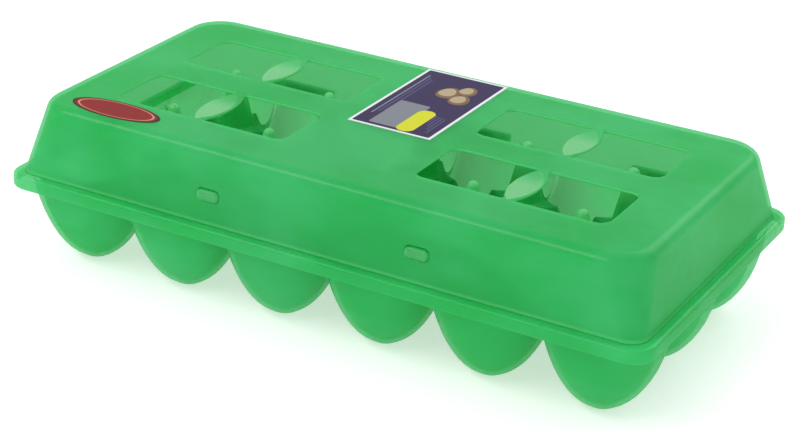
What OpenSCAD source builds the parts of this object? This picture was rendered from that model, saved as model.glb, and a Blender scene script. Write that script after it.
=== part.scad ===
// Egg keeper with a flip lid: eighteen cups in three rows of six.
// Millimetres, +Z up, the front (with the locking flap) towards -Y.
// The cups stand on z = 0, and x = y = 0 is the middle of the tray.

/* [Cups] */
// Distance between neighbouring cups, both ways
pitch = 50; // [46:0.5:56]
// Outer radius of a cup's mouth
cup_r = 27.6; // [27:0.1:29]
// Wall of the tray
tray_wall = 1.7; // [1.2:0.1:2.2]
// Radius of the flat foot under each cup
foot_r = 6; // [4:0.5:9]
// How square the lower part of a cup is
cup_belly = 2.27; // [2:0.01:2.6]
// How early the side of a cup turns upright
cup_turn = 1.34; // [1.1:0.01:1.6]

/* [Tray] */
// Height of the tray's top face
tray_h = 42.6; // [38:0.1:48]
// How far the rim stands out past the cups
rim_out = 3.5; // [3:0.1:5]
// Height of the rim's turned-down edge
rim_h = 6.1; // [5:0.1:9]
// Radius of the rim's four corners
rim_corner_r = 10; // [9:0.5:12]
// Rounding of the rim's outer edge
rim_edge_r = 1.6; // [0.6:0.1:2]
// Width of the flat land inside the lid's foot
land = 5; // [4.6:0.1:6]

/* [Posts] */
// Height of the posts between the cups
post_top = 69.5; // [60:0.5:71]
// Radius of a post at its foot
post_foot_r = 8.2; // [6:0.1:8.8]
// Radius of a post's round tip
post_tip_r = 2.6; // [2.4:0.1:3.4]

/* [Lid] */
// Overall height, closed
total_h = 74.9; // [73:0.1:82]
// Wall of the lid
lid_wall = 1.6; // [1.2:0.1:2]
// Ledge of the rim left bare round the lid
lid_ledge = 4.2; // [3.9:0.1:4.4]
// How far each side of the lid leans in over its height
lid_lean = 5.2; // [3:0.1:7]
// Rounding where the top meets the sides
lid_edge_r = 5.3; // [4:0.1:7]
// Radius of the lid's corners at its foot
lid_foot_r = 8.5; // [7:0.5:10]
// Radius of the lid's corners at its top
lid_top_r = 17.4; // [13:0.1:20]

/* [Windows] */
// Length of a window
window_l = 87; // [70:1:92]
// Width of a window
window_w = 35; // [25:1:36]
// Radius of a window's corners
window_r = 5; // [2:0.5:8]
// Width of the bridge across the middle of a window
bridge_w = 10; // [7:0.5:14]
// Width of a bridge where it meets the lid
bridge_end_w = 6; // [5:0.5:6.5]

/* [Locking flap] */
// Height of the flap's two humps above the tray
flap_h = 19; // [16:0.5:21]
// Height of the flap at its middle
flap_dip_h = 8.5; // [6:0.5:10]
// Length of the flap
flap_l = 250; // [210:1:270]
// Thickness of the flap
flap_t = 1.4; // [1:0.1:1.6]
// Radius of the bead that the flap bends about
bead_r = 0.9; // [0.8:0.05:1.1]
// Width of a locking knob
knob_w = 13; // [10:0.5:16]
// Height of a locking knob
knob_h = 6.6; // [6:0.1:7]
// How far a knob stands out of the lid
knob_out = 3; // [1.5:0.1:3.5]
// Height of a knob's middle above the tray
knob_up = 12; // [11:0.1:12.5]
// Gap round a knob in its slot
slot_gap = 0.6; // [0.4:0.1:1]

/* [Hinge] */
// Radius of the hinge knuckles
knuckle_r = 1.9; // [1.7:0.05:2]
// Radius of the hinge pins
pin_r = 0.9; // [0.7:0.05:1]
// Length of a lid knuckle
knuckle_l = 16; // [10:1:24]
// Distance of the outer hinges from the middle
hinge_x = 95; // [70:1:115]
// Gap between parts that move past each other
play = 0.3; // [0.2:0.05:0.4]

/* [Labels] */
// Length of the long label
label_l = 73; // [60:1:78]
// Width of the long label
label_w = 40.5; // [30:0.5:50]
// Length of the oval label
oval_l = 45; // [36:1:50]
// Width of the oval label
oval_w = 16.5; // [12:0.5:18]
// Thickness of the labels
label_t = 0.2; // [0.1:0.05:0.3]

/* [Hidden] */
$fn = 96;
columns = 6;
rows = 3;
row_letters = ["a", "b", "c"];
green = "mediumseagreen";
through = 1;
arc_fn = 48;

grid_x = columns * pitch / 2;
grid_y = rows * pitch / 2;
rim_x = grid_x + rim_out;
rim_y = grid_y + rim_out;
inner_x = grid_x - land + 1;
inner_y = grid_y - land;
plate_t = tray_wall;
mouth_r = cup_r - tray_wall;

lid_foot_x = rim_x - lid_ledge;
lid_foot_y = rim_y - lid_ledge;
lid_h = total_h - tray_h;
lid_top_x = lid_foot_x - lid_lean;
lid_top_y = lid_foot_y - lid_lean;
lean = lid_lean / lid_h;
lean_angle = atan(lean);
// Distance from the lid's sharp top edge to the middle of its rounding
edge_in = lid_edge_r / cos(lean_angle) - lid_edge_r * lean;
flat_y = lid_top_y - edge_in;
window_x = 1.5 * pitch;
window_y = pitch / 2 + 1.5;

hinge_y = rim_y - knuckle_r - 0.1;
hinge_z = tray_h + knuckle_r + play + 0.2;
lug_l = knuckle_l / 2;
bore_r = pin_r + play / 2 + 0.05;

// The flap leans as the lid's front does, just behind it
flap_gap = 0.5;
bead_z = tray_h + bead_r + play;
bead_y = -lid_foot_y + (bead_z - tray_h) * lean
    + (lid_wall + flap_gap + flap_t / 2) / cos(lean_angle);
knob_x = pitch;
knob_rise = (knob_up - bead_r - play) / cos(lean_angle);
knob_reach = flap_t / 2 + flap_gap + lid_wall + knob_out;
hump_x = pitch;
hump_flat = 14;

// Radius of a cup at a height: a belly that turns up towards the mouth
function cup_radius(share, r) = r * pow(1 - pow(1 - share, cup_turn), 1 / cup_belly);
function cup_share(i, steps) = pow(i / steps, 1.7);
function smooth(t) = t <= 0 ? 0 : t >= 1 ? 1 : t * t * (3 - 2 * t);
function cup_x(c) = (c - (columns - 1) / 2) * pitch;
function cup_y(r) = (r - (rows - 1) / 2) * pitch;
function cup_name(r, c) = str("cup_", row_letters[r], c + 1);
// How far back the lid's outer rear face is at a height
function lid_back(z) = lid_foot_y - (z - tray_h) * lean;
// Height of the flap's edge: a flat hump round each knob and a dip between them
function flap_edge(x) = abs(x) < hump_x - hump_flat
    ? flap_dip_h + (flap_h - flap_dip_h) * smooth(abs(x) / (hump_x - hump_flat))
    : flap_h * smooth((flap_l / 2 - abs(x)) / (flap_l / 2 - hump_x - hump_flat));

module bowl(r, low, high, base_r) {
    steps = 14;
    side = [
        for (i = [1:steps])
            let (s = cup_share(i, steps))
            if (cup_radius(s, r) > base_r + 0.5)
                [cup_radius(s, r), low + (high - low) * s]
    ];
    rotate_extrude()
        polygon(concat([[0, low], [base_r, low]], side, [[0, high]]));
}

// One cup, cut square where it meets its neighbours, with its share of the top face
module cup(r, c) {
    x = cup_x(c);
    y = cup_y(r);
    color(green)
    difference() {
        intersection() {
            union() {
                translate([x, y, 0]) bowl(cup_r, 0, tray_h, foot_r);
                translate([x - pitch / 2, y - pitch / 2, tray_h - plate_t])
                    cube([pitch, pitch, plate_t]);
            }
            translate([x - pitch / 2, y - pitch / 2, -through])
                cube([pitch, pitch, tray_h + through]);
        }
        intersection() {
            translate([x, y, 0])
                bowl(mouth_r, tray_wall, tray_h, foot_r - tray_wall / 2);
            translate([-inner_x, -inner_y, 0])
                cube([2 * inner_x, 2 * inner_y, tray_h]);
        }
        // The posts are hollow from below
        for (px = [-2:2], py = [-0.5, 0.5])
            if (abs(px * pitch - x) < pitch && abs(py * pitch - y) < pitch)
                translate([px * pitch, py * pitch, tray_h - plate_t - through])
                    cylinder(r = post_foot_r - tray_wall, h = plate_t + 2 * through);
    }
}

module edge_section(half, r) {
    union() {
        translate([-half + r, 0]) square([2 * (half - r), rim_h]);
        translate([-half, r]) square([2 * half, rim_h - 2 * r]);
        for (x = [-half + r, half - r], z = [r, rim_h - r])
            translate([x, z]) circle(r = r);
    }
}

module rounded_slab(half_x, half_y, r, edge) {
    union() {
        translate([-half_x + r, 0, 0])
            rotate([90, 0, 90])
            linear_extrude(2 * (half_x - r))
            edge_section(half_y, edge);
        translate([0, half_y - r, 0])
            rotate([90, 0, 0])
            linear_extrude(2 * (half_y - r))
            edge_section(half_x, edge);
        for (x = [-half_x + r, half_x - r], y = [-half_y + r, half_y - r])
            translate([x, y, 0])
            rotate_extrude()
            intersection() {
                edge_section(r, edge);
                square([r, rim_h]);
            }
    }
}

module rounded_rect(half_x, half_y, r) {
    square([2 * (half_x - r), 2 * half_y], center = true);
    square([2 * half_x, 2 * (half_y - r)], center = true);
    for (x = [-half_x + r, half_x - r], y = [-half_y + r, half_y - r])
        translate([x, y]) circle(r = r);
}

// Ledge round the cups with a turned-down edge, open below
module tray_rim() {
    color(green)
    difference() {
        translate([0, 0, tray_h - rim_h])
            rounded_slab(rim_x, rim_y, rim_corner_r, rim_edge_r);
        translate([-grid_x, -grid_y, 0])
            cube([2 * grid_x, 2 * grid_y, tray_h + through]);
        translate([0, 0, tray_h - rim_h - through])
            linear_extrude(rim_h + through - plate_t)
            rounded_rect(rim_x - tray_wall, rim_y - tray_wall, rim_corner_r - tray_wall);
    }
}

// A hollow post with a round tip
module post() {
    tip_z = post_top - post_tip_r;
    inner_tip = post_tip_r - tray_wall / 2;
    rotate_extrude()
    difference() {
        union() {
            polygon([[0, tray_h], [post_foot_r, tray_h], [post_tip_r, tip_z], [0, tip_z]]);
            intersection() {
                translate([0, tip_z]) circle(r = post_tip_r);
                translate([0, tip_z]) square([post_tip_r, post_tip_r]);
            }
        }
        polygon([
            [0, tray_h - through],
            [post_foot_r - tray_wall, tray_h - through],
            [post_foot_r - tray_wall, tray_h],
            [inner_tip, tip_z - tray_wall],
            [0, tip_z - tray_wall]
        ]);
    }
}

module divider_posts() {
    color(green)
    for (px = [-2:2], py = [-0.5, 0.5])
        translate([px * pitch, py * pitch, 0]) post();
}

// Two lugs at each hinge, standing on the rim behind the lid
module hinge_lugs() {
    color(green)
    for (x = [-hinge_x, 0, hinge_x], s = [-1, 1])
        translate([x + s * (knuckle_l / 2 + play + lug_l / 2), hinge_y, hinge_z])
        difference() {
            union() {
                rotate([0, 90, 0]) cylinder(r = knuckle_r, h = lug_l, center = true);
                translate([-lug_l / 2, -knuckle_r + 0.3, tray_h - hinge_z])
                    cube([lug_l, 2 * knuckle_r - 0.6, hinge_z - tray_h]);
            }
            rotate([0, 90, 0]) cylinder(r = pin_r, h = lug_l + through, center = true);
        }
}

module hinge_pins() {
    color(green)
    for (x = [-hinge_x, 0, hinge_x])
        translate([x, hinge_y, hinge_z])
        rotate([0, 90, 0])
        cylinder(r = pin_r, h = knuckle_l + 2 * play + 2 * lug_l, center = true);
}

// The lid's outer or inner form, a wall's thickness in from the outside
module lid_form(inset) {
    tube_r = lid_edge_r - inset;
    foot_drop = inset > 0 ? through : 0;
    hull() {
        translate([0, 0, tray_h - foot_drop])
            linear_extrude(0.01)
            rounded_rect(
                lid_foot_x - inset / cos(lean_angle) + foot_drop * lean,
                lid_foot_y - inset / cos(lean_angle) + foot_drop * lean,
                lid_foot_r - inset,
                $fn = arc_fn);
        for (x = [-1, 1], y = [-1, 1])
            translate([
                x * (lid_top_x - lid_top_r),
                y * (lid_top_y - lid_top_r),
                total_h - lid_edge_r])
            rotate_extrude($fn = arc_fn)
            translate([lid_top_r - edge_in, 0])
            circle(r = tube_r, $fn = arc_fn);
    }
}

// A window with a bridge left across its middle, wider at the middle than at its ends
module window_shape() {
    rise = (bridge_w - bridge_end_w) / 2;
    arc_r = (window_w * window_w / 4 + rise * rise) / (2 * rise);
    difference() {
        rounded_rect(window_l / 2, window_w / 2, window_r);
        intersection() {
            translate([bridge_w / 2 - arc_r, 0]) circle(r = arc_r);
            translate([arc_r - bridge_w / 2, 0]) circle(r = arc_r);
        }
    }
}

// A knob's outline, or its slot's, in the plane of the flap
module knob_shape(gap, above) {
    translate([0, above / 2])
        rounded_rect(knob_w / 2 + gap, (knob_h + above) / 2 + gap, 2.4 + gap);
}

module on_flap() {
    translate([0, bead_y, bead_z]) rotate([-lean_angle, 0, 0]) children();
}

module lid() {
    color(green)
    difference() {
        lid_form(0);
        lid_form(lid_wall);
        for (x = [-window_x, window_x], y = [-window_y, window_y])
            translate([x, y, total_h - lid_edge_r])
            linear_extrude(lid_edge_r + through)
            window_shape();
        for (x = [-knob_x, knob_x])
            on_flap()
            translate([x, flap_t, knob_rise])
            rotate([90, 0, 0])
            linear_extrude(knob_reach + 4)
            knob_shape(slot_gap, 1);
    }
}

// Knuckles on the lid's rear wall, each turning on a pin between two lugs
module lid_knuckles() {
    low = hinge_z - knuckle_r;
    high = hinge_z + knuckle_r;
    color(green)
    for (x = [-hinge_x, 0, hinge_x])
        translate([x - knuckle_l / 2, 0, 0])
        rotate([90, 0, 90])
        linear_extrude(knuckle_l)
        difference() {
            union() {
                translate([hinge_y, hinge_z]) circle(r = knuckle_r);
                polygon([
                    [lid_back(low), low],
                    [hinge_y, low],
                    [hinge_y, high],
                    [lid_back(high), high]
                ]);
            }
            translate([hinge_y, hinge_z]) circle(r = bore_r);
        }
}

// The springy flap behind the lid's front, with a bead along its foot
module locking_flap() {
    steps = 60;
    color(green)
    on_flap()
    union() {
        translate([0, flap_t / 2, 0])
            rotate([90, 0, 0])
            linear_extrude(flap_t)
            polygon(concat(
                [[-flap_l / 2, -bead_r / 2], [flap_l / 2, -bead_r / 2]],
                [
                    for (i = [0:steps])
                        let (x = flap_l * (0.5 - i / steps))
                        [x, max(bead_r, flap_edge(x))]
                ]));
        rotate([0, 90, 0]) cylinder(r = bead_r, h = flap_l, center = true);
    }
}

module locking_knobs() {
    color(green)
    on_flap()
    for (x = [-knob_x, knob_x])
        translate([x, -flap_t / 2, knob_rise])
        rotate([90, 0, 0])
        linear_extrude(knob_reach - flap_t / 2)
        knob_shape(0, 0);
}

module long_label() {
    color("indigo")
    translate([-label_w / 2, flat_y - 0.5 - label_l, total_h])
        cube([label_w, label_l, label_t]);
}

module oval_label() {
    color("firebrick")
    translate([-window_x - 33.5, -flat_y + oval_w / 2 + 0.3, total_h])
        linear_extrude(label_t)
        polygon([for (a = [0:6:354]) [oval_l / 2 * cos(a), oval_w / 2 * sin(a)]]);
}

for (r = [0:rows - 1], c = [0:columns - 1])
    cup(r, c);
tray_rim();
divider_posts();
hinge_lugs();
hinge_pins();
lid();
lid_knuckles();
locking_flap();
locking_knobs();
long_label();
oval_label();
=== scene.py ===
# %% [markdown]
# # An egg keeper with a flip lid
#
# The object is a household egg keeper moulded in milky green plastic: a tray of eighteen round cups, a tapered
# lid with four windows, and a springy flap whose two knobs lock the lid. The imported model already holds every
# piece at its real size. This file gives the mouldings the smooth forms and the see-through plastic of the real
# thing. It starts from the frame, because every size below is read from it or added to it.

# %% The frame
import math

import bpy
import numpy as np
from mathutils import Matrix, Vector
from mathutils.geometry import tessellate_polygon


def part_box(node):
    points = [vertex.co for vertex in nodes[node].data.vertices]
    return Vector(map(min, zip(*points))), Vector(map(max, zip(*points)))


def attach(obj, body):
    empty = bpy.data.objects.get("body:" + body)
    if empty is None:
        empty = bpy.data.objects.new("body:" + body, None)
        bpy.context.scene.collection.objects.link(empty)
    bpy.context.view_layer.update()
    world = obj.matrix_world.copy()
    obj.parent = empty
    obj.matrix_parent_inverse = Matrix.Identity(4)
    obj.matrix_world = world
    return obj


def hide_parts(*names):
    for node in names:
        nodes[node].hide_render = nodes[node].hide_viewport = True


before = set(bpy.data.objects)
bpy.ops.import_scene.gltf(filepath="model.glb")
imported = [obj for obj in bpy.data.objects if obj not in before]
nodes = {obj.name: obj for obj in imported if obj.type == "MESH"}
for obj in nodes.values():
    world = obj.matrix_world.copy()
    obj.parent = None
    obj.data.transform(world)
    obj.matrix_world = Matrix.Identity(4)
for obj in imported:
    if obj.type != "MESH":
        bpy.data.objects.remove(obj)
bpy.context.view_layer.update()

# %% [markdown]
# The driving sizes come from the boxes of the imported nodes. What the boxes can't tell, such as a wall or a
# rounding, is named here once, in metres. So is a quarter turn, for the round edges.

# %% Sizes
rim_low, rim_high = (np.array(corner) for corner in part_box("tray_rim"))
cup_low, cup_high = (np.array(corner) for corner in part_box("cup_a1"))
lid_low, lid_high = (np.array(corner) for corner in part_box("lid"))
COLUMNS = 6
ROWS = 3
PITCH = cup_high[0] - cup_low[0]
HALF = PITCH / 2
TRAY_TOP = rim_high[2]
LID_TOP = lid_high[2]
WALL = 0.0017
LID_WALL = 0.0016
QUARTER = math.pi / 2
print(f"pitch {PITCH * 1000:.1f} mm, tray top {TRAY_TOP * 1000:.1f} mm, lid top {LID_TOP * 1000:.1f} mm")

# %% [markdown]
# ## The camera
#
# The picture was taken from the front right and above with a long lens. The camera stands where lines through
# the cups' grid and the lid's corners meet, so the render can be laid over the picture. It rolls by two degrees,
# and its frame is 800 pixels wide.

# %% Camera
CAMERA_PLACE = (0.41431, -0.75068, 0.42957)
AZIMUTH = math.radians(28.756)
ELEVATION = math.radians(24.937)
ROLL = math.radians(2.121)
FOCAL_PIXELS = 2154.6
PHOTO_WIDTH = 800
SENSOR = 36.0


def add_object(name, data):
    """Puts a new object into the scene."""
    made = bpy.data.objects.new(name, data)
    bpy.context.scene.collection.objects.link(made)
    return made


camera_data = bpy.data.cameras.new("camera")
camera_data.sensor_width = SENSOR
camera_data.lens = FOCAL_PIXELS / PHOTO_WIDTH * SENSOR
camera_data.clip_start = 0.05
camera_data.clip_end = 20
camera = add_object("camera", camera_data)
camera.matrix_world = (
    Matrix.Translation(CAMERA_PLACE)
    @ Matrix.Rotation(AZIMUTH, 4, "Z")
    @ Matrix.Rotation(QUARTER - ELEVATION, 4, "X")
    @ Matrix.Rotation(ROLL, 4, "Z")
)
bpy.context.scene.camera = camera
print(f"lens {camera_data.lens:.1f} mm")

# %% [markdown]
# ## From arrays to pieces
#
# Every new surface below is a grid of points, a function of two parameters. Where a grid shrinks to an edge or a
# pole, or meets the next grid, its points fall together. So one helper welds such points, splits the four-sided
# faces into triangles and drops the empty ones. It then counts the edges that only one face uses: none means
# that the piece is watertight. Normals weighted by area keep the flats flat beside their rounded edges.

# %% Weld and build
WELD = 0.00001
WELD_SHIFT = 0.2371
SLIVER = 1e-10


def grid_faces(rows, columns, start=0, flip=False):
    """Four-sided faces of a grid of points stored row after row."""
    row, column = np.meshgrid(np.arange(rows - 1), np.arange(columns - 1), indexing="ij")
    first = (start + row * columns + column).ravel()
    faces = np.stack([first, first + columns, first + columns + 1, first + 1], axis=1)
    return faces[:, ::-1] if flip else faces


def turn_slivers(flat, triangles):
    """Removes triangles whose corners lie in a line, which a plate between aligned holes can hold. With the
    corner b between a and c, and d beyond the long edge, (a, b, c) and (a, c, d) become (a, b, d) and (b, c, d)."""
    for k in range(len(triangles)):
        a, b, c = flat[triangles[k]]
        if abs((b - a)[0] * (c - a)[1] - (b - a)[1] * (c - a)[0]) > SLIVER:
            continue
        opposite = [np.linalg.norm(c - b), np.linalg.norm(a - c), np.linalg.norm(b - a)]
        first, middle, last = np.roll(triangles[k], 1 - int(np.argmax(opposite)))
        shares = np.isin(triangles, [first, last]).sum(axis=1) == 2
        shares[k] = False
        other = int(np.flatnonzero(shares)[0])
        beyond = next(corner for corner in triangles[other] if corner not in (first, last))
        triangles[k] = first, middle, beyond
        triangles[other] = middle, last, beyond


class Shell:
    """Collects grids and flat plates of one piece, and welds them into one mesh."""

    def __init__(self):
        self.points = []
        self.triangles = []
        self.count = 0

    def add(self, points, triangles):
        self.points.append(points)
        self.triangles.append(triangles + self.count)
        self.count += len(points)

    def grid(self, points, flip=False):
        """Adds a grid given as an array of rows, columns and three coordinates."""
        rows, columns = points.shape[:2]
        faces = grid_faces(rows, columns, 0, flip)
        self.add(points.reshape(-1, 3), np.vstack([faces[:, [0, 1, 2]], faces[:, [0, 2, 3]]]))

    def plate(self, loops, place, flip=False):
        """Adds a flat plate: the first loop is its outline and the others are holes, in two coordinates.
        place turns an array of those into points in space."""
        triangles = np.array(tessellate_polygon([[(*point, 0) for point in loop] for loop in loops]))
        flat = np.vstack(loops)
        turn_slivers(flat, triangles)
        a, b, c = (flat[triangles[:, k]] for k in range(3))
        area = (b - a)[:, 0] * (c - a)[:, 1] - (b - a)[:, 1] * (c - a)[:, 0]
        backward = area < 0
        triangles[backward] = triangles[backward][:, ::-1]
        self.add(place(flat), triangles[:, ::-1] if flip else triangles)

    def welded(self):
        """All points and triangles, with points nearer than a hundredth of a millimetre made one."""
        points = np.vstack(self.points)
        triangles = np.vstack(self.triangles)
        keys = np.round(points / WELD + WELD_SHIFT).astype(np.int64)
        _, first, index = np.unique(keys, axis=0, return_index=True, return_inverse=True)
        triangles = index.ravel()[triangles]
        a, b, c = triangles.T
        return points[first], triangles[(a != b) & (b != c) & (c != a)]


def open_edges(triangles):
    """How many edges lack a partner that runs the other way."""
    edges = np.vstack([triangles[:, [0, 1]], triangles[:, [1, 2]], triangles[:, [2, 0]]])
    size = triangles.max() + 1
    forward = edges[:, 0] * size + edges[:, 1]
    backward = edges[:, 1] * size + edges[:, 0]
    return int(np.setxor1d(forward, backward).size)


def build(shell, name, body, stands_for):
    """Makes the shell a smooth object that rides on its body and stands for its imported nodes."""
    points, triangles = shell.welded()
    mesh = bpy.data.meshes.new(name)
    mesh.from_pydata(points, [], triangles)
    mesh.shade_smooth()
    corner = points[triangles]
    across = np.cross(corner[:, 1] - corner[:, 0], corner[:, 2] - corner[:, 0])
    normals = np.zeros_like(points)
    for k in range(3):
        np.add.at(normals, triangles[:, k], across)
    normals /= np.maximum(np.linalg.norm(normals, axis=1, keepdims=True), 1e-15)
    mesh.normals_split_custom_set_from_vertices(normals)
    piece = add_object(name, mesh)
    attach(piece, body)
    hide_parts(*stands_for)
    print(f"{name}: {len(triangles)} triangles, {open_edges(triangles)} open edges")
    return piece


# %% [markdown]
# ## The tray
#
# The tray is one moulding: eighteen bowls that run into each other, hollow posts between them and a rim with a
# turned-down edge. Booleans on spheres would leave creases, and a height map can't follow the steep walls. So
# each cup is its own polar grid. A column goes from the cup's middle outwards: up the bowl, over a small arc at
# the crest, across the flat top and up a quarter of the post at the cell's corner. Columns of neighbouring cups
# end in the same points, so the grids weld into one skin. The same function gives the upper and the under side.

# %% Profile of a cup
CUP_BELLY = 2.27
CUP_TURN = 1.34
FOOT_FLAT = (0.003, 0.009)
PROFILE_STEPS = 400


def smooth_step(value, low, high):
    """0 below low, 1 above high, and an even turn between: t squared times (3 - 2 t)."""
    share = np.clip((value - low) / (high - low), 0, 1)
    return share * share * (3 - 2 * share)


def smooth_least(a, b, width):
    """The smaller of a and b, with the corner between them rounded over the width."""
    share = np.clip(0.5 + 0.5 * (b - a) / width, 0, 1)
    return b + (a - b) * share - width * share * (1 - share)


def cup_profile(mouth, low, high):
    """Radius and height up a cup. With s the share of the height, the radius is the mouth's radius times
    (1 - (1 - s) ^ turn) ^ (1 / belly). Near the middle the height is pressed down to a flat foot."""
    share = np.linspace(0, 1, PROFILE_STEPS) ** 2
    radius = mouth * (1 - (1 - share) ** CUP_TURN) ** (1 / CUP_BELLY)
    height = low + (high - low) * share * smooth_step(radius, *FOOT_FLAT)
    return radius, height


# %% [markdown]
# The crest between two cups is an arc that touches the bowl's wall and has its middle over the cell's edge. For
# a wall with the slope (dr, dz) an arc of radius a that touches it has its middle at r + a dz / length and
# z - a dr / length. Looking this up along the wall gives the height at which each column leaves the bowl.

# %% Directions round a cup
SIDE_STEPS = 3
TURN_STEPS = 2
CORNER_STEPS = 4


def octant(first_turn, second_turn):
    """Angles from a side's middle to its corner, with both turning points of the crest among them."""
    return np.concatenate([
        np.linspace(0, first_turn, SIDE_STEPS, endpoint=False),
        np.linspace(first_turn, second_turn, TURN_STEPS, endpoint=False),
        np.linspace(second_turn, math.pi / 4, CORNER_STEPS, endpoint=False),
    ])


def all_round(part):
    """The angles of one octant, mirrored and turned to go all the way round."""
    quarter = np.concatenate([part, [math.pi / 4], QUARTER - part[:0:-1]])
    return np.concatenate([quarter + k * QUARTER for k in range(4)] + [[2 * math.pi]])


# %% [markdown]
# A post is a cone with a round tip and a fillet at its foot. Its profile is the distance from the post's axis
# and the height, from the flat top of the tray to the tip.

# %% Profile of a post
POST_TOP = float(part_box("divider_posts")[1].z)
POST_FOOT = 0.0082
POST_TIP = 0.0026
POST_FILLET = 0.0015
FILLET_STEPS = 4
TIP_STEPS = 5


def post_profile(inset, ground):
    """Distance from the axis and height, up a post that lies a wall's thickness inside the outer one.
    The fillet is an arc that touches the ground and the cone; the tip is a quarter circle."""
    tip_height = POST_TOP - POST_TIP
    slope = math.atan2(tip_height - TRAY_TOP, POST_FOOT - POST_TIP)
    middle = POST_FOOT + POST_FILLET * math.tan(slope / 2)
    turn = np.linspace(0, slope, FILLET_STEPS)
    fillet = POST_FILLET + inset
    foot_distance = middle - fillet * np.sin(turn)
    foot_height = ground + fillet - fillet * np.cos(turn)
    tip_turn = np.linspace(QUARTER - slope, QUARTER, TIP_STEPS)
    tip = POST_TIP - inset
    return (
        np.concatenate([foot_distance, tip * np.cos(tip_turn)]),
        np.concatenate([foot_height, tip_height + tip * np.sin(tip_turn)]),
    )


print("post, outer profile:", np.round(np.array(post_profile(0, TRAY_TOP)) * 1000, 1).tolist())

# %% [markdown]
# On the outer sides of the grid a cup ends at a flat wall, and its cell reaches to the rim's inner line, which
# turns the tray's corners on an arc.

# %% One cup's skin
RIM_CORNER = 0.010
RIM_REACH = rim_high[1] - WALL - PITCH
LINE_CORNER = RIM_CORNER - WALL
WALL_BLEND = 0.005
BOWL_STEPS = 14
ARC_STEPS = 4
FLAT_STEPS = 2


def cup_directions(angles, outer_x, outer_y):
    """Unit directions round a cup, the distance to the cell's edge, and the edge's outward normal.
    A side that lies on the tray's outside reaches to the rim's inner line."""
    toward = np.stack([np.cos(angles), np.sin(angles)], axis=1)
    outside = np.stack([toward[:, 0] * outer_x > 1e-9, toward[:, 1] * outer_y > 1e-9], axis=1)
    reach = np.where(outside, RIM_REACH, HALF)
    direction = toward * reach
    direction /= np.linalg.norm(direction, axis=1, keepdims=True)
    to_side = reach / np.maximum(np.abs(direction), 1e-9)
    edge = to_side.min(axis=1)
    meets = (to_side < edge[:, None] + 1e-6) & outside
    normal = meets * np.sign(direction)
    corner = (RIM_REACH - LINE_CORNER) * np.sign(direction)
    along = (corner * direction).sum(axis=1)
    inside = along**2 - (corner**2).sum(axis=1) + LINE_CORNER**2
    arc = along + np.sqrt(np.maximum(inside, 0))
    from_corner = direction * arc[:, None] - corner
    turned = outside.all(axis=1) & (inside > 0) & (from_corner * np.sign(direction) > 0).all(axis=1)
    edge = np.where(turned, arc, edge)
    normal = np.where(turned[:, None], from_corner / LINE_CORNER, normal)
    return direction, edge, normal, turned | meets.any(axis=1)


def cup_walls(direction, outer_x, outer_y, wall_x, wall_y):
    """Distance to the flat wall on the tray's outside, in each direction."""
    far = 1.0
    x = np.where(direction[:, 0] * outer_x > 1e-6, wall_x / np.maximum(np.abs(direction[:, 0]), 1e-6), far)
    y = np.where(direction[:, 1] * outer_y > 1e-6, wall_y / np.maximum(np.abs(direction[:, 1]), 1e-6), far)
    return smooth_least(x, y, WALL_BLEND)


def look_up(table, at):
    """Reads each row of a table at its own fractional place, or places."""
    step = np.arange(table.shape[1])
    return np.array([np.interp(place, step, row) for place, row in zip(at, table)])


def look_back(table, value):
    """The fractional place at which each row of a rising table reaches its value."""
    step = np.arange(table.shape[1])
    value = np.broadcast_to(value, len(table))
    return np.array([np.interp(v, row, step) for v, row in zip(value, table)])


def crest(mouth, low, high, arc, limit, edge):
    """For each column: the bowl's radius and height tables, the middle of the arc at its crest, and the place
    in the tables where that arc begins. The arc's middle is over the cell's edge, or lies where the arc just
    reaches the flat top. limit is the distance to the outer wall, and edge the distance to the cell's edge."""
    radius, height = cup_profile(mouth, low, high)
    radius = smooth_least(radius[None, :], limit[:, None], WALL_BLEND)
    height = np.broadcast_to(height, radius.shape)
    run = np.gradient(radius, axis=1)
    rise = np.gradient(height, axis=1)
    length = np.maximum(np.hypot(run, rise), 1e-12)
    middle_r = radius + arc * rise / length
    middle_z = height - arc * run / length
    last = np.minimum(look_back(middle_z, high - arc), look_back(middle_r, edge))
    return radius, height, look_up(middle_r, last), look_up(middle_z, last), last


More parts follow.
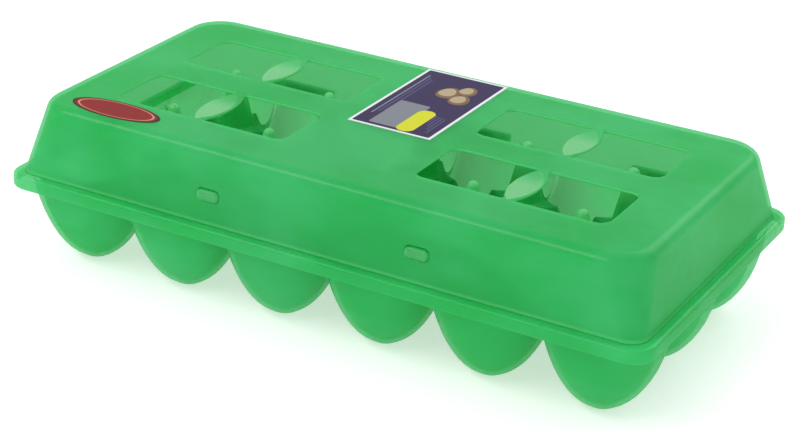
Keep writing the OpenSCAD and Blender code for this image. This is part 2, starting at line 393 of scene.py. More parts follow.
def cup_skin(place, outer, angles, turning, side):
    """Points of one cup's skin, rows from the cup's middle outwards and columns round it.
    side holds the sizes of the upper or the under skin."""
    direction, edge, normal, on_rim = cup_directions(angles, *outer)
    limit = cup_walls(direction, *outer, side["wall_x"], side["wall_y"])
    radius, height, centre, hub_z, last = crest(
        side["mouth"], side["low"], side["high"], side["arc"], limit, edge
    )
    share = np.linspace(0, 1, BOWL_STEPS)
    at = last[:, None] * share[None, :]
    bowl_r = look_up(radius, at)
    bowl_z = look_up(height, at)
    start = np.arctan2(bowl_z[:, -1] - hub_z, bowl_r[:, -1] - centre)
    turn = start[:, None] + (QUARTER - start[:, None]) * np.linspace(0, 1, ARC_STEPS + 1)[None, 1:]
    arc_r = centre[:, None] + side["arc"] * np.cos(turn)
    arc_z = hub_z[:, None] + side["arc"] * np.sin(turn)
    ring_r = np.hstack([bowl_r, arc_r])
    ring_z = np.hstack([bowl_z, arc_z])
    rings = np.concatenate([direction[:, None, :] * ring_r[:, :, None], ring_z[:, :, None]], axis=2)

    # The flat top, from the crest to the cell's edge or to the foot of the post
    sign = np.sign(np.round(direction, 9))
    has_post = (sign[:, 0] != outer[0]) & (sign[:, 1] != outer[1]) & (sign != 0).all(axis=1)
    within = np.mod(angles, QUARTER)
    has_post &= (within > turning - 1e-9) & (within < QUARTER - turning + 1e-9)
    post_d, post_h = post_profile(side["inset"], side["high"])
    share = np.clip((within - turning) / (QUARTER - 2 * turning), 0, 1)
    quarter = np.floor_divide(angles + 1e-12, QUARTER) * QUARTER
    around = quarter - QUARTER - QUARTER * share
    spoke = np.stack([np.cos(around), np.sin(around)], axis=1)
    hub = HALF * np.stack([np.cos(quarter) - np.sin(quarter), np.sin(quarter) + np.cos(quarter)], axis=1)
    plain = np.concatenate([direction * edge[:, None], rings[:, -1, 2:]], axis=1)
    post = np.concatenate([
        hub[:, None, :] + spoke[:, None, :] * post_d[None, :, None],
        np.broadcast_to(post_h[None, :, None], (len(angles), len(post_h), 1)),
    ], axis=2)
    end = np.where(has_post[:, None], post[:, 0], plain)[:, None]
    share = np.linspace(0, 1, FLAT_STEPS + 1)[None, 1:, None]
    skin = np.concatenate([rings, rings[:, -1:] * (1 - share) + end * share], axis=1)
    skin[:, :, :2] += place
    post[:, :, :2] += place
    return skin, post, has_post, normal, on_rim


# %% [markdown]
# The rim is a profile carried round the tray. Its columns start in the outermost points of the cups' upper skins
# and end in those of the under skins: over a round edge, down the skirt, round its lower edge and up the inside.

# %% The rim
RIM_EDGE = 0.0016
SKIRT_EDGE = WALL / 2
SKIRT_FILLET = 0.0005
RIM_POINTS = 5
SKIRT_POINTS = 7


def rim_profile():
    """Distance outwards from the rim's inner line, and height: arcs joined by straight stretches."""
    turn = np.linspace(0, QUARTER, RIM_POINTS)
    full_turn = np.linspace(0, math.pi, SKIRT_POINTS)
    edge = np.stack([
        WALL - RIM_EDGE + RIM_EDGE * np.sin(turn),
        TRAY_TOP - RIM_EDGE + RIM_EDGE * np.cos(turn),
    ], axis=1)
    foot = np.stack([
        WALL - SKIRT_EDGE + SKIRT_EDGE * np.cos(full_turn),
        rim_low[2] + SKIRT_EDGE - SKIRT_EDGE * np.sin(full_turn),
    ], axis=1)
    ceiling = TRAY_TOP - WALL
    inner = np.array([[0, ceiling - SKIRT_FILLET], [0, ceiling]])
    return np.vstack([[[0, TRAY_TOP]], edge, foot, inner])


# %% [markdown]
# The upper and the under skin of a cup differ only in their sizes. Both are made for all eighteen cups, and the
# rim closes the gap between them where a cup lies on the tray's outside.

# %% All eighteen cups
UPPER = {
    "mouth": 0.0259, "low": WALL, "high": TRAY_TOP, "arc": 0.0008, "inset": 0.0,
    "wall_x": 0.0202, "wall_y": 0.0192,
}
UNDER = {
    "mouth": 0.0276, "low": 0.0, "high": TRAY_TOP - WALL, "arc": 0.0005, "inset": WALL,
    "wall_x": 0.0252, "wall_y": 0.0252,
}


def turning_angle(side):
    """The angle at which the flat top begins beside a cup: there the crest reaches the cell's edge."""
    far = np.array([1.0])
    centre = crest(side["mouth"], side["low"], side["high"], side["arc"], far, far)[2]
    return math.acos(HALF / float(centre[0]))


def tray():
    """The tray's closed skin: for each cup an upper and an under side, joined by the rim."""
    shell = Shell()
    turns = [turning_angle(side) for side in (UPPER, UNDER)]
    angles = all_round(octant(*sorted(turns)))
    profile = rim_profile()
    for row in range(ROWS):
        for column in range(COLUMNS):
            place = ((column - (COLUMNS - 1) / 2) * PITCH, (row - (ROWS - 1) / 2) * PITCH)
            outer = (
                (column == COLUMNS - 1) - (column == 0),
                (row == ROWS - 1) - (row == 0),
            )
            for side, turning, flip in ((UPPER, turns[0], True), (UNDER, turns[1], False)):
                skin, post, has_post, normal, on_rim = cup_skin(place, outer, angles, turning, side)
                shell.grid(skin, flip)
                for first in np.flatnonzero(has_post[:-1] & has_post[1:]):
                    shell.grid(post[first:first + 2], flip)
            line = skin[:, -1, :2]
            skirt = np.concatenate([
                line[:, None, :] + normal[:, None, :] * profile[None, :, :1],
                np.broadcast_to(profile[None, :, 1:], (len(line), len(profile), 1)),
            ], axis=2)
            for first in np.flatnonzero(on_rim[:-1] & on_rim[1:]):
                shell.grid(skirt[first:first + 2], flip=True)
    return shell


cups = [f"cup_{row}{column}" for row in "abc" for column in range(1, COLUMNS + 1)]
tray_piece = build(tray(), "tray_moulding", "tray", [*cups, "tray_rim", "divider_posts"])

# %% [markdown]
# ## The lid
#
# The lid is a thin tapered shell. Its corners are tighter at the foot than at the top, and a round edge turns
# the sides into the top. One ring of directions describes it all: in each direction a straight line leans from
# the foot to the round edge and touches it. With the foot a distance h outside the edge's middle and a height v
# below it, a line that touches a circle of radius a has a normal that rises by acos(a / d) - atan2(v, h), where
# d is the straight distance. The inner side is the same shape, a wall's thickness further in.

# %% Rings of the lid
LID_EDGE = 0.0053
LID_FOOT_CORNER = 0.0085
LID_TOP_CORNER = 0.0174
LID_LEAN = 0.0052
FOOT_ROUND = 0.0005
LID_CORNER_STEPS = 14
LID_EDGE_STEPS = 8

lid_half = (lid_high - lid_low)[:2] / 2
lid_rise = LID_TOP - TRAY_TOP
lean = LID_LEAN / lid_rise
lean_angle = math.atan(lean)
lean_cos, lean_sin = math.cos(lean_angle), math.sin(lean_angle)
edge_in = LID_EDGE / lean_cos - LID_EDGE * lean
top_half = lid_half - LID_LEAN - edge_in
top_corner = LID_TOP_CORNER - edge_in


def ring_directions():
    """The signs of the four corners and the outward direction, for each column round the lid."""
    turn = np.linspace(0, QUARTER, LID_CORNER_STEPS + 1)
    turn = np.concatenate([turn + k * QUARTER for k in range(4)])
    quarter = np.repeat(np.arange(4), LID_CORNER_STEPS + 1)
    sign = np.stack([np.where((quarter == 0) | (quarter == 3), 1, -1), np.where(quarter < 2, 1, -1)], axis=1)
    return sign, np.stack([np.cos(turn), np.sin(turn)], axis=1)


def lid_side(inset):
    """Rows from the lid's foot over the round edge to the flat top, for the outer or the inner side."""
    sign, toward = ring_directions()
    foot_half = lid_half - inset / lean_cos
    foot_corner = LID_FOOT_CORNER - inset
    foot = sign * (foot_half - foot_corner) + foot_corner * toward
    ring = sign * (top_half - top_corner) + top_corner * toward
    tube = LID_EDGE - inset
    out = ((foot - ring) * toward).sum(axis=1)
    drop = lid_rise - LID_EDGE
    tilt = np.arccos(tube / np.hypot(out, drop)) - np.arctan2(drop, out)
    turn = tilt + (QUARTER - tilt) * np.linspace(0, 1, LID_EDGE_STEPS + 1)[:, None]
    edge = np.concatenate([
        ring[None] + tube * np.cos(turn)[:, :, None] * toward[None],
        (LID_TOP - LID_EDGE + tube * np.sin(turn))[:, :, None],
    ], axis=2)
    foot = np.concatenate([foot, np.full((len(foot), 1), TRAY_TOP)], axis=1)[None]
    share = FOOT_ROUND / lid_rise
    raised = foot * (1 - share) + edge[:1] * share
    return np.concatenate([foot, raised, edge])


print(f"the lid's sides lean by {math.degrees(lean_angle):.2f} degrees")

# %% [markdown]
# Each window is a rectangle with round corners. A bridge crosses its middle like a pointed leaf, so its sides
# are two long arcs. What is left are two openings, whose outlines are closed by arcs that touch the bridge and
# the long sides.

# %% Outlines of the openings
WINDOW_LENGTH = 0.087
WINDOW_WIDTH = 0.035
WINDOW_CORNER = 0.005
BRIDGE_WIDTH = 0.012
BRIDGE_END = 0.003
BRIDGE_CORNER = 0.0012
WINDOW_STEPS = 8
BRIDGE_STEPS = 6
LEAF_STEPS = 12
WINDOW_X = 1.5 * PITCH
WINDOW_Y = HALF + 0.0015


def arc(middle, radius, start, end, steps):
    """Points on an arc, from one angle to the other."""
    turn = np.linspace(start, end, steps + 1)
    return np.stack([middle[0] + radius * np.cos(turn), middle[1] + radius * np.sin(turn)], axis=1)


def opening():
    """The outline of the opening to the right of a bridge, anticlockwise: two corners at the far end, two
    arcs that touch the bridge, and the bridge's own side, which bulges into the opening."""
    half = WINDOW_WIDTH / 2
    rise = (BRIDGE_WIDTH - BRIDGE_END) / 2
    side_r = (half**2 + rise**2) / (2 * rise)
    side_x = BRIDGE_WIDTH / 2 - side_r
    near_y = half - BRIDGE_CORNER
    near_x = side_x + math.sqrt((side_r + BRIDGE_CORNER) ** 2 - near_y**2)
    meet = math.atan2(near_y, near_x - side_x)
    far = (WINDOW_LENGTH / 2 - WINDOW_CORNER, half - WINDOW_CORNER)
    return np.vstack([
        arc((far[0], -far[1]), WINDOW_CORNER, -QUARTER, 0, WINDOW_STEPS),
        arc(far, WINDOW_CORNER, 0, QUARTER, WINDOW_STEPS),
        arc((near_x, near_y), BRIDGE_CORNER, QUARTER, math.pi + meet, BRIDGE_STEPS),
        arc((side_x, 0), side_r, meet, -meet, LEAF_STEPS)[1:-1],
        arc((near_x, -near_y), BRIDGE_CORNER, math.pi - meet, 1.5 * math.pi, BRIDGE_STEPS),
    ])


def outline_normals(outline):
    """Unit normals of a closed anticlockwise outline, pointing out of it."""
    along = np.roll(outline, -1, axis=0) - np.roll(outline, 1, axis=0)
    along /= np.linalg.norm(along, axis=1, keepdims=True)
    return np.stack([along[:, 1], -along[:, 0]], axis=1)


def closed_outline(outline):
    """An outline and its normals, each with the first row once more at the end."""
    return [np.vstack([rows, rows[:1]]) for rows in (outline, outline_normals(outline))]


def all_openings():
    """The eight openings: a right and a left one for each of the four windows."""
    right = opening()
    left = (right * (-1, 1))[::-1]
    places = [(x, y) for x in (-WINDOW_X, WINDOW_X) for y in (-WINDOW_Y, WINDOW_Y)]
    return [shape + place for place in places for shape in (right, left)]


print("openings in the top:", len(all_openings()))

# %% [markdown]
# A hole through a plate has a round edge above and below. Its wall is a profile of two arcs carried along the
# hole's outline. The plates above and below it get the outline pushed out by the arc's radius.

# %% Walls of a hole
HOLE_EDGE = 0.0005
HOLE_STEPS = 4
SLOT_STEPS = 6


def hole_wall(outline, thickness):
    """Rows of (offset outline, depth below the upper face), from the upper face to the lower."""
    turn = np.linspace(0, QUARTER, HOLE_STEPS)
    upper = np.stack([HOLE_EDGE * (1 - np.sin(turn)), HOLE_EDGE * (1 - np.cos(turn))], axis=1)
    lower = upper[::-1] * (1, -1) + (0, thickness)
    profile = np.vstack([upper, lower])
    closed, normal = closed_outline(outline)
    flat = closed[None] + normal[None] * profile[:, None, :1]
    depth = np.broadcast_to(profile[:, None, 1:], (*flat.shape[:2], 1))
    return np.concatenate([flat, depth], axis=2)


def slot_outline(half_x, low, high, corner):
    """A rectangle with round corners, anticlockwise, from low to high."""
    corners = [(half_x, low, -1), (half_x, high, 0), (-half_x, high, 1), (-half_x, low, 2)]
    return np.vstack([
        arc(
            (x - math.copysign(corner, x), z + corner if z == low else z - corner),
            corner, k * QUARTER, (k + 1) * QUARTER, SLOT_STEPS,
        )
        for x, z, k in corners
    ])


# %% [markdown]
# The locking flap leans as the lid's front does and turns about a bead at its foot. Places on it, and the slots
# that its knobs stand in, are given in the flap's own plane: x along the front, and u up the slope.

# %% The flap's plane
BEAD = 0.0009
FLAP_THICK = 0.0014
FLAP_GAP = 0.0005
PLAY = 0.0003
bead_z = TRAY_TOP + BEAD + PLAY
bead_y = -lid_half[1] + (bead_z - TRAY_TOP) * lean + (LID_WALL + FLAP_GAP + FLAP_THICK / 2) / lean_cos
KNOB_X = PITCH
KNOB_WIDTH = 0.011
KNOB_HEIGHT = 0.0048
KNOB_CORNER = 0.0022
KNOB_UP = 0.012
knob_rise = (KNOB_UP - BEAD - PLAY) / lean_cos
SLOT_GAP = 0.00025
SLOT_ABOVE = 0.0004


def on_slope(flat, out):
    """Points in space from (x, u) in the flap's plane and a distance out to the front."""
    x, up = flat[..., 0], flat[..., 1]
    return np.stack([
        x,
        bead_y + up * lean_sin - out * lean_cos,
        bead_z + up * lean_cos + out * lean_sin,
    ], axis=-1)


front_out = FLAP_THICK / 2 + FLAP_GAP + LID_WALL
print(f"bead at y {bead_y * 1000:.2f}, z {bead_z * 1000:.2f} mm")

# %% [markdown]
# Now the lid can be put together. Its sides are grids. The flat front and the flat top are plates, because a
# plate can have holes: two slots and eight openings. The walls of the holes and the foot join the outer side to
# the inner one.

# %% The lid's shell
def to_slope(points):
    """The (x, u) of points on the lid's front."""
    up = (points[..., 2] - bead_z) * lean_cos + (points[..., 1] - bead_y) * lean_sin
    return np.stack([points[..., 0], up], axis=-1)


def on_top(flat, depth):
    """Points in space from (x, y) and a depth below the lid's top."""
    return np.concatenate([flat, np.broadcast_to(LID_TOP - depth, flat.shape[:-1])[..., None]], axis=-1)


def on_front(flat, depth):
    """Points in space from (x, u) and a depth behind the lid's front."""
    return on_slope(flat, front_out - depth)


def pierced(shell, outlines, holes, place):
    """Adds an outer and an inner plate of the lid, with the holes in both and the walls of the holes."""
    walls = [hole_wall(shape, LID_WALL) for shape in holes]
    for wall in walls:
        shell.grid(place(wall[..., :2], wall[..., 2]), True)
    for outline, row, depth, flip in zip(outlines, (0, -1), (0, LID_WALL), (False, True)):
        loops = [outline] + [wall[row, :-1, :2] for wall in walls]
        shell.plate(loops, lambda flat, depth=depth: place(flat, depth), flip)


def lid():
    """The lid's closed shell: grids for the sides and the foot, plates for the front and the top."""
    shell = Shell()
    outer = lid_side(0)
    inner = lid_side(LID_WALL)
    front = 3 * (LID_CORNER_STEPS + 1) - 1
    for side, flip in ((outer, True), (inner, False)):
        closed = np.concatenate([side, side[:, :1]], axis=1)
        shell.grid(closed[2:], flip)
        shell.grid(closed[:3, :front + 1], flip)
        shell.grid(closed[:3, front + 1:], flip)
        shell.grid(closed[:2, front:front + 2], flip)
    foot = np.stack([inner[0], outer[0]])
    shell.grid(np.concatenate([foot, foot[:, :1]], axis=1), True)

    pierced(shell, [side[-1, :, :2] for side in (outer, inner)], all_openings(), on_top)

    half = KNOB_WIDTH / 2 + SLOT_GAP
    low = knob_rise - KNOB_HEIGHT / 2 - SLOT_GAP
    high = knob_rise + KNOB_HEIGHT / 2 + SLOT_GAP + SLOT_ABOVE
    slots = [slot_outline(half, low, high, KNOB_CORNER + SLOT_GAP) + (x, 0) for x in (-KNOB_X, KNOB_X)]
    patches = [
        to_slope(np.stack([side[1, front], side[1, front + 1], side[2, front + 1], side[2, front]]))
        for side in (outer, inner)
    ]
    pierced(shell, patches, slots, on_front)
    print("columns round the lid:", outer.shape[1])
    return shell


lid_piece = build(lid(), "lid_shell", "lid", ["lid"])

# %% [markdown]
# ## The locking flap
#
# The flap is a low springy wall with two humps. Its section is a thin panel with a round upper edge on a round
# bead, and the panel's height follows the humps. So it is a grid of sections along the front. Seen through the
# lid, its outline is the soft wave along the keeper's front.

# %% Flap
FLAP_LENGTH = 0.250
FLAP_HIGH = 0.019
FLAP_DIP = 0.0085
HUMP_FLAT = 0.014
FLAP_STEPS = 160
SECTION_STEPS = 10
PANEL_POINTS = 7


def flap_edge(x):
    """Height of the flap along x: a flat hump round each knob, a dip between them and long falls outside."""
    x = np.abs(x)
    inner = FLAP_DIP + (FLAP_HIGH - FLAP_DIP) * smooth_step(x, 0, KNOB_X - HUMP_FLAT)
    outer = FLAP_HIGH * smooth_step(FLAP_LENGTH / 2 - x, 0, FLAP_LENGTH / 2 - KNOB_X - HUMP_FLAT)
    return np.where(x < KNOB_X - HUMP_FLAT, inner, outer)


def flap():
    """Sections along x. Half the thickness at a height u is that of the bead's circle near the foot, that of
    the panel above it, and that of a small circle at the upper edge."""
    x = np.linspace(-FLAP_LENGTH / 2, FLAP_LENGTH / 2, FLAP_STEPS + 1)
    top = np.maximum(flap_edge(x), BEAD)
    half = FLAP_THICK / 2
    turn = np.linspace(-QUARTER, math.acos(half / BEAD), SECTION_STEPS)
    bead_u = np.broadcast_to(BEAD * np.sin(turn), (len(x), SECTION_STEPS))
    bead_w = np.broadcast_to(BEAD * np.cos(turn), (len(x), SECTION_STEPS))
    foot_u = bead_u[:, -1:]
    turn = np.linspace(0, QUARTER, SECTION_STEPS)
    middle = np.maximum(top - half, foot_u[:, 0])[:, None]
    edge_u = middle + (top[:, None] - middle) * np.sin(turn)
    edge_w = half * np.cos(turn)[None, :] + 0 * edge_u
    share = np.linspace(0, 1, PANEL_POINTS)[None, 1:-1]
    panel_u = foot_u + (middle - foot_u) * share
    panel_w = np.full_like(panel_u, half)
    up = np.hstack([bead_u, panel_u, edge_u])
    wide = np.hstack([bead_w, panel_w, edge_w])
    up = np.hstack([up, up[:, ::-1]])
    wide = np.hstack([wide, -wide[:, ::-1]])
    x = np.broadcast_to(x[:, None], up.shape)
    skin = on_slope(np.stack([x, up], axis=-1), wide)
    ends = [np.broadcast_to(end.mean(axis=0), (1, *end.shape)) for end in (skin[0], skin[-1])]
    shell = Shell()
    shell.grid(np.concatenate([ends[0], skin, ends[1]]))
    return shell


flap_piece = build(flap(), "flap_panel", "locking_flap", ["locking_flap"])

# %% [markdown]
# A knob is a block with round corners whose outer face is rounded off and slightly crowned. It is a profile of
# (inset, distance out) carried round the knob's outline, ending in a point at the middle of its face.

# %% Knobs
KNOB_OUT = front_out + 0.0014
KNOB_ROUND = 0.0013
KNOB_CROWN = 0.0004
KNOB_POINTS = 6
FACE_RINGS = (0.7, 0.4, 0)


def knobs():
    """Rings round each knob: straight out, over a quarter circle, then across the face to its middle."""
    shell = Shell()
    low, high = knob_rise - KNOB_HEIGHT / 2, knob_rise + KNOB_HEIGHT / 2
    outline, normal = closed_outline(slot_outline(KNOB_WIDTH / 2, low, high, KNOB_CORNER))
    middle = np.array([0, knob_rise])
    turn = np.linspace(0, QUARTER, KNOB_POINTS)
    inset = np.concatenate([[0, 0], KNOB_ROUND * (1 - np.cos(turn))[1:]])
    out = np.concatenate([
        [FLAP_THICK / 2 - PLAY, KNOB_OUT - KNOB_CROWN - KNOB_ROUND],
        KNOB_OUT - KNOB_CROWN - KNOB_ROUND * (1 - np.sin(turn))[1:],
    ])
    sides = outline[None] - normal[None] * inset[:, None, None]
    share = np.array(FACE_RINGS)[:, None, None]
    face = middle + (sides[-1:] - middle) * share
    rings = np.concatenate([np.broadcast_to(middle, (1, *outline.shape)), sides, face])
    crown = KNOB_OUT - KNOB_CROWN * share[:, 0, 0] ** 2
    out = np.concatenate([out[:1], out, crown])
    for x in (-KNOB_X, KNOB_X):
        shell.grid(on_slope(rings + (x, 0), out[:, None] + np.zeros(rings.shape[:2])), True)
    return shell


knob_piece = build(knobs(), "flap_knobs", "locking_flap", ["locking_knobs"])

# %% [markdown]
# ## Materials
#
# A shader is a small program whose values are sockets. The class below wraps a socket, so that a formula can be
# written with the usual signs, as it would be for numbers. Any other node is made by one method: its type, its
# settings, and then its inputs, which are values or wires.

# %% Wires
class Wire:
    """A socket of a shader's tree, or just the tree when it starts a formula."""

    def __init__(self, tree, socket=None):
        self.tree = tree
        self.socket = socket

    def node(self, kind, settings=(), inputs=(), output=0):
        """Adds a node and gives the wire of one of its outputs."""
        node = self.tree.nodes.new("ShaderNode" + kind)
        for name, value in dict(settings).items():
            setattr(node, name, value)
        for name, value in dict(inputs).items():
            if isinstance(value, Wire):
                self.tree.links.new(value.socket, node.inputs[name])
            else:
                node.inputs[name].default_value = value
        return Wire(self.tree, node.outputs[output] if node.outputs else None)

    def math(self, operation, *values):
        return self.node("Math", {"operation": operation}, enumerate(values))

    def __add__(self, other):
        return self.math("ADD", self, other)

    def __sub__(self, other):
        return self.math("SUBTRACT", self, other)

    def __rsub__(self, other):
        return self.math("SUBTRACT", other, self)

    def __mul__(self, other):
        return self.math("MULTIPLY", self, other)

    def __truediv__(self, other):
        return self.math("DIVIDE", self, other)

    def __lt__(self, other):
        return self.math("LESS_THAN", self, other)

    def __gt__(self, other):
        return self.math("GREATER_THAN", self, other)

    def __and__(self, other):
        return self.math("MINIMUM", self, other)

    def __or__(self, other):
        return self.math("MAXIMUM", self, other)

    def __abs__(self):
        return self.math("ABSOLUTE", self)

    __radd__ = __add__
    __rmul__ = __mul__

    def ramp(self, low, high):
        """0 below low and 1 above high, with an even turn between them."""
        settings = {"interpolation_type": "SMOOTHSTEP"}
        return self.node("MapRange", settings, {"Value": self, "From Min": low, "From Max": high})

    def place(self, kind="Object"):
        """The point in the piece's own space, in metres. With "Normal", the way the surface faces there."""
        return self.node("TexCoord", (), (), kind)

    def noise(self, scale, detail):
        """Soft noise at this point. The scale is about the number of blotches in a metre."""
        return self.node("TexNoise", (), {"Vector": self, "Scale": scale, "Detail": detail})

    def bump(self, strength, distance):
        """The surface's normal, tilted as this height rises and falls."""
        return self.node("Bump", (), {"Height": self, "Strength": strength, "Distance": distance})

    def split(self):
        """The three parts of a vector."""
        return [self.node("SeparateXYZ", (), {0: self}, k) for k in range(3)]

    def colour(self, first, second):
        """The first colour where this wire is 0 and the second where it is 1."""
        inputs = {0: self, 6: first, 7: second}
        return self.node("Mix", {"data_type": "RGBA"}, inputs, 2)


def linear(red, green, blue):
    """A colour for a socket, from the 0 to 255 values that a screen shows."""
    parts = [value / 255 for value in (red, green, blue)]
    return (*(part / 12.92 if part <= 0.04045 else ((part + 0.055) / 1.055) ** 2.4 for part in parts), 1)


def new_material(name):
    """An empty material and the wire that starts its formulas."""
    material = bpy.data.materials.new(name)
    material.use_nodes = True
    material.node_tree.nodes.clear()
    return material, Wire(material.node_tree)


def finish_material(wire):
    wire.node("OutputMaterial", (), {"Surface": wire})


# %% [markdown]
# The plastic is milky. A share of the light goes straight on, tinted by the wall, a share is scattered back and a
# share is scattered through. Where two walls lie behind each other, as the flap behind the lid's front, the
# light crosses more plastic, and the green turns deeper; the flap's own greens are painted deeper for it, as
# painted shade. The inner sides are matt, and a little paler for it. The melt has faint clouds and flow lines,
# and the surface has a slight waviness. The cut edges, the slot walls and the lid's foot get a painted glow, a
# paler colour for light that runs inside the wall and comes out there. The posts' tips and the bridges get
# painted highlights.

# %% The green plastic
MILKY = linear(92, 237, 158)
DEEP = linear(58, 222, 124)
# The flap's greens are painted shade: deeper copies of the plastic's greens, for the flap behind the lid's front.
FLAP_SHADED_MILKY = linear(24, 208, 88)
FLAP_SHADED_DEEP = linear(16, 202, 78)
INSIDE = linear(138, 192, 150)
# PALE gives the painted highlights on the posts' tips and over the bridges, and the paler ends of the knobs.
PALE = linear(150, 226, 170)
# GLOW is a painted glow on the cut edges of the windows, the slot walls and the lid's foot.
GLOW = linear(130, 244, 170)
THROUGH_TINT = linear(96, 236, 150)
TINT = linear(188, 226, 200)
CLEAR = 0.45
THROUGH = 0.45
PALE_SHIFT = 0.002
PALE_LENGTH = 0.0155
PLASTIC_IOR = 1.49
CLOUDS = 16
WAVES = 45
FLOW_LINES = 150
FLOW_STRETCH = (0.35, 1, 1)
GRAINS = 900
LID_HEART = TRAY_TOP - 0.01
FRONT_SIDE = -0.055
SLOT_BESIDE = 0.002
SLOT_ROUND = 0.003
FOOT_GLOW = 0.0022


def plastic(name, inside=None, pale=None, glow=None, milky=MILKY, deep=DEEP):
    """Translucent green plastic. inside, pale and glow make masks, from the start wire, of the inner sides, of
    paler places (painted highlights on the posts and bridges, and the knobs' ends) and of edges with a painted
    glow. Its clouds go from milky to deep."""
    material, start = new_material(name)
    place = start.place()
    cloud = place.noise(CLOUDS, 2)
    flow = place.node("Mapping", (), {"Vector": place, "Scale": FLOW_STRETCH}).noise(FLOW_LINES, 3)
    grain = place.noise(GRAINS, 2)
    wave = place.noise(WAVES, 1)
    depth = (cloud * 0.75 + flow * 0.25).ramp(0.36, 0.64)
    colour = depth.colour(milky, deep)
    rough = 0.18 + 0.08 * flow + 0.05 * grain
    if inside:
        mask = inside(start)
        colour = mask.colour(colour, INSIDE)
        rough = rough + 0.12 * mask
    clear = CLEAR
    if glow:
        edge = glow(start)
        colour = edge.colour(colour, GLOW)
        clear = clear * (1 - 0.7 * edge)
    if pale:
        leaf = pale(start)
        colour = leaf.colour(colour, PALE)
        clear = clear * (1 - 0.8 * leaf)
    bump = (wave * 0.7 + grain * 0.05).bump(0.12, 0.0006)
    body = place.node("BsdfPrincipled", (), {
        "Base Color": colour, "Roughness": rough, "Normal": bump, "IOR": PLASTIC_IOR,
    })
    through = place.node("BsdfTranslucent", (), {"Color": THROUGH_TINT})
    straight = place.node("BsdfTransparent", (), {"Color": TINT})
    milk = place.node("MixShader", (), {0: THROUGH, 1: body, 2: through})
    finish_material(place.node("MixShader", (), {0: clear, 1: milk, 2: straight}))
    return material


def facing(start):
    """The way that the surface faces, as the piece itself sees it, so that it holds while the lid turns."""
    return start.place("Normal").split()


def window_parts(start):
    """x and y from the middle of the nearest window, y towards the hinge, and the height, in metres."""
    x, y, z = start.place().split()
    return abs(x) - WINDOW_X, y - y.math("SIGN", y) * WINDOW_Y, z


def in_lid(start):
    """The lid's inner sides: they face the middle of the hollow, and not away from it."""
    x, y, z = start.place().split()
    face_x, face_y, face_z = facing(start)
    outward = face_x * x + face_y * y + face_z * (z - LID_HEART)
    return (0 - outward).ramp(0.0, 0.006)


def in_tray(start):
    """The tray's inner sides face up, below the rim."""
    z = start.place().split()[2]
    return facing(start)[2].ramp(0.02, 0.25) * (TRAY_TOP - z).ramp(0.001, 0.004)


def painted_post_highlight(start):
    """A painted highlight on the upper part of the posts, a thin cone that catches the light under the windows."""
    z = start.place().split()[2]
    return (z - TRAY_TOP).ramp(0.006, 0.018) * 0.7


def painted_bridge_highlight(start):
    """A painted highlight over each bridge, a pale leaf: brightest at the front, and fading into the green at its
    rear end.
    """
    x, y, z = window_parts(start)
    along = (y + PALE_SHIFT) / PALE_LENGTH
    leaf = (1.05 - abs(x) / (BRIDGE_WIDTH / 2 + 0.0004) - along * along * 0.9).ramp(0, 0.15)
    fade = 1 - 0.75 * (y + PALE_SHIFT).ramp(-0.001, 0.0125)
    return leaf * fade & (z > LID_TOP - LID_WALL * 1.2)


def painted_glow_mask(start):
    """The lid's foot, and the thin walls of the windows and slots: they face sideways in the top, or not forwards
    in the front. They get a painted glow, which lightens the dark line at the foot and the shade in the slots."""
    x, y, z = start.place().split()
    face_x, face_y, face_z = facing(start)
    window = (z > LID_TOP - LID_WALL) & (1 - abs(face_z)).ramp(0.35, 0.6)
    middle = bead_z + knob_rise * lean_cos
    beside = abs(abs(x) - KNOB_X) < KNOB_WIDTH / 2 + SLOT_BESIDE
    level = abs(z - middle) < KNOB_HEIGHT / 2 + SLOT_ROUND
    slot = beside & level & (y < FRONT_SIDE) & (abs(face_y) < 0.6)
    foot = (TRAY_TOP + FOOT_GLOW - z).ramp(0, 0.0015) * 0.6
    return window | slot | foot


def on_knob(start):
    """The round end of a knob, which is thick and looks paler than the flap."""
    x, y, z = start.place().split()
    out = (bead_y - y) * lean_cos + (z - bead_z) * lean_sin
    return (out - front_out).ramp(-0.001, 0.0006) * 0.35


tray_plastic = plastic("green_tray", in_tray, painted_post_highlight)
lid_plastic = plastic("green_lid", in_lid, painted_bridge_highlight, painted_glow_mask)
# The flap's material carries the painted shade of its deeper greens.
shaded_flap_plastic = plastic("green_flap_shaded", milky=FLAP_SHADED_MILKY, deep=FLAP_SHADED_DEEP)
knob_plastic = plastic("green_knob", pale=on_knob)


def dress(piece, material):
    """Gives a piece one material."""
    piece.data.materials.clear()
    piece.data.materials.append(material)


for piece in (tray_piece, nodes["hinge_lugs"], nodes["hinge_pins"]):
    dress(piece, tray_plastic)
for piece in (lid_piece, nodes["lid_knuckles"]):
    dress(piece, lid_plastic)
dress(flap_piece, shaded_flap_plastic)
dress(knob_piece, knob_plastic)
print("materials:", sorted(material.name for material in bpy.data.materials))

# %% [markdown]
# ## The labels
#
# Both labels are flat sheets, so a print is a formula of x and y. The long one is purple with a white border,
# and carries plain shapes: a light block, a round-ended yellow tag and a few eggs. The oval is red, with a thin
# pale line inside its edge and a dark rim.

# %% Printed paper
PAPER_WHITE = linear(226, 230, 232)
INK_PURPLE = linear(40, 26, 74)
INK_VIOLET = linear(78, 70, 112)
INK_SILVER = linear(122, 126, 134)
INK_YELLOW = linear(206, 208, 30)
INK_OCHRE = linear(120, 92, 64)
INK_CREAM = linear(176, 158, 126)
INK_RED = linear(132, 10, 14)
INK_DARK = linear(62, 12, 16)
INK_GOLD = linear(206, 140, 104)
FIBRES = 1400
PAPER_SHEEN = 0.08


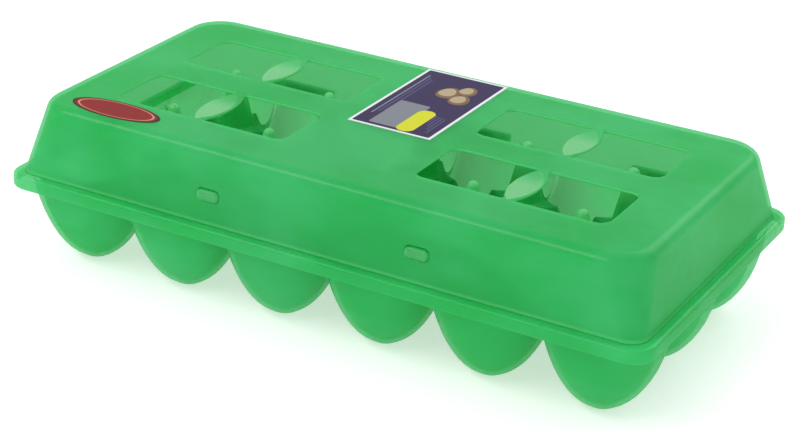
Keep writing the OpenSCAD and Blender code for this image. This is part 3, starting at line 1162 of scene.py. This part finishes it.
def paper(name, paint):
    """Printed paper with a soft sheen: paint gives its colour from x and y within the label, in millimetres."""
    material, start = new_material(name)
    low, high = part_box(name)
    middle = (low + high) / 2
    x, y, _ = start.place().split()
    fibre = start.place().noise(FIBRES, 2)
    colour = paint((x - middle.x) * 1000, (y - middle.y) * 1000)
    colour = (fibre.ramp(0.3, 0.8) * 0.02).colour(colour, PAPER_WHITE)
    finish_material(start.node("BsdfPrincipled", (), {
        "Base Color": colour, "Roughness": 0.34 + 0.12 * fibre, "Normal": fibre.bump(0.08, 0.0001),
        "Specular IOR Level": PAPER_SHEEN,
    }))
    return material


def block(x, y, middle, half, corner=0.4):
    """A mask of a rectangle with round corners."""
    over_x = (abs(x - middle[0]) - (half[0] - corner)) | 0
    over_y = (abs(y - middle[1]) - (half[1] - corner)) | 0
    return over_x * over_x + over_y * over_y < corner * corner


def egg(x, y, middle, size):
    """A mask of an egg: an oval that is slimmer at one end."""
    x = (x - middle[0]) / size
    y = (y - middle[1]) / size
    return x * x * ((1 + 0.25 * y) | 0.5) + y * y * 0.6 < 1


def long_print(x, y):
    """The long label, with x across it and y along it towards the hinge."""
    half = (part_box("long_label")[1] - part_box("long_label")[0]) * 500
    colour = block(x, y, (0, 0), (half.x - 1.3, half.y - 1.3), 0.8).colour(PAPER_WHITE, INK_PURPLE)

    # Thin lines along the left side, then a light block and a yellow tag
    for k in range(3):
        line = block(x, y, (-half.x + 4.4 + 1.9 * k, 3), (0.4, half.y - 10 - 2.5 * k), 0.3)
        colour = line.colour(colour, INK_VIOLET if k else INK_SILVER)
    colour = block(x, y, (-4.5, -18.5), (7.5, 14.5), 1.2).colour(colour, INK_SILVER)
    colour = block(x, y, (5.2, -21.5), (4.2, 13), 4).colour(colour, INK_YELLOW)

    # Three eggs, each with a pale side, and thin lines along the right side
    for place, size in (((1.5, 15), 5.2), ((9.5, 10), 4.6), ((8, 21), 4.2)):
        colour = egg(x, y, place, size).colour(colour, INK_OCHRE)
        colour = egg(x, y, (place[0] - 0.8, place[1] + 0.6), size * 0.72).colour(colour, INK_CREAM)
    for k in range(4):
        line = block(x, y, (half.x - 5 - 1.6 * k, -22 + 2 * k), (0.35, 9 - 1.5 * k), 0.3)
        colour = line.colour(colour, INK_VIOLET)
    return colour


def oval_print(x, y):
    """The oval: its distance from the middle is 1 at the edge."""
    half = (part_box("oval_label")[1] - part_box("oval_label")[0]) * 500
    across = x / half.x
    along = y / half.y
    reach = across.math("SQRT", across * across + along * along)
    colour = (reach > 0.93).colour(INK_RED, INK_DARK)
    line = (reach > 0.83) & (reach < 0.875)
    return line.colour(colour, INK_GOLD)


dress(nodes["long_label"], paper("long_label", long_print))
dress(nodes["oval_label"], paper("oval_label", oval_print))
print("labels:", [piece.data.materials[0].name for piece in (nodes["long_label"], nodes["oval_label"])])

# %% [markdown]
# ## The studio
#
# The object stands in a white tent, so the light comes from everywhere. A long lamp at the front left and a
# weaker one behind add the soft streaks on the edges. The floor and the sky are white to the camera. The floor
# also shines a little, as a lit table does, and keeps a pale shadow.

# %% Floor, sky and lamps
FLOOR_HALF = 3.0
floor_mesh = bpy.data.meshes.new("floor")
floor_corners = [(x * FLOOR_HALF, y * FLOOR_HALF, 0) for x, y in ((-1, -1), (1, -1), (1, 1), (-1, 1))]
floor_mesh.from_pydata(floor_corners, [], [(0, 1, 2, 3)])
floor = add_object("floor", floor_mesh)
floor_material, start = new_material("floor")
matt = start.node("BsdfDiffuse", (), {"Color": (0.7, 0.7, 0.7, 1)})
shine = start.node("Emission", (), {"Color": (1, 1, 1, 1), "Strength": 0.52})
finish_material(start.node("AddShader", (), {0: matt, 1: shine}))
floor_mesh.materials.append(floor_material)

SKY_SEEN = 1.0
SKY_LIGHT = 0.62
world = bpy.data.worlds.new("world")
world.use_nodes = True
world.node_tree.nodes.clear()
start = Wire(world.node_tree)
camera_ray, glossy_ray, transmission_ray = (
    start.node("LightPath", (), (), f"Is {kind} Ray") for kind in ("Camera", "Glossy", "Transmission")
)
seen = camera_ray | glossy_ray | transmission_ray
sky = start.node("Background", (), {"Color": (1, 1, 1, 1), "Strength": SKY_LIGHT + (SKY_SEEN - SKY_LIGHT) * seen})
sky.node("OutputWorld", (), {"Surface": sky})
bpy.context.scene.world = world


def lamp(name, place, target, size, power):
    """A soft lamp of a width and a height that looks at a target."""
    data = bpy.data.lights.new(name, "AREA")
    data.shape = "RECTANGLE"
    data.size, data.size_y = size
    data.energy = power
    made = add_object(name, data)
    made.location = place
    made.rotation_euler = (Vector(target) - Vector(place)).to_track_quat("-Z", "Y").to_euler()
    print(f"{name} lamp: {power} W")


lamp("key", (-0.55, -0.75, 1.15), (0, 0, 0.04), (1.3, 0.35), 9)
lamp("rear", (0.3, 0.9, 0.9), (0, 0, 0.05), (0.8, 0.8), 5)
bpy.context.scene.view_settings.view_transform = "Standard"
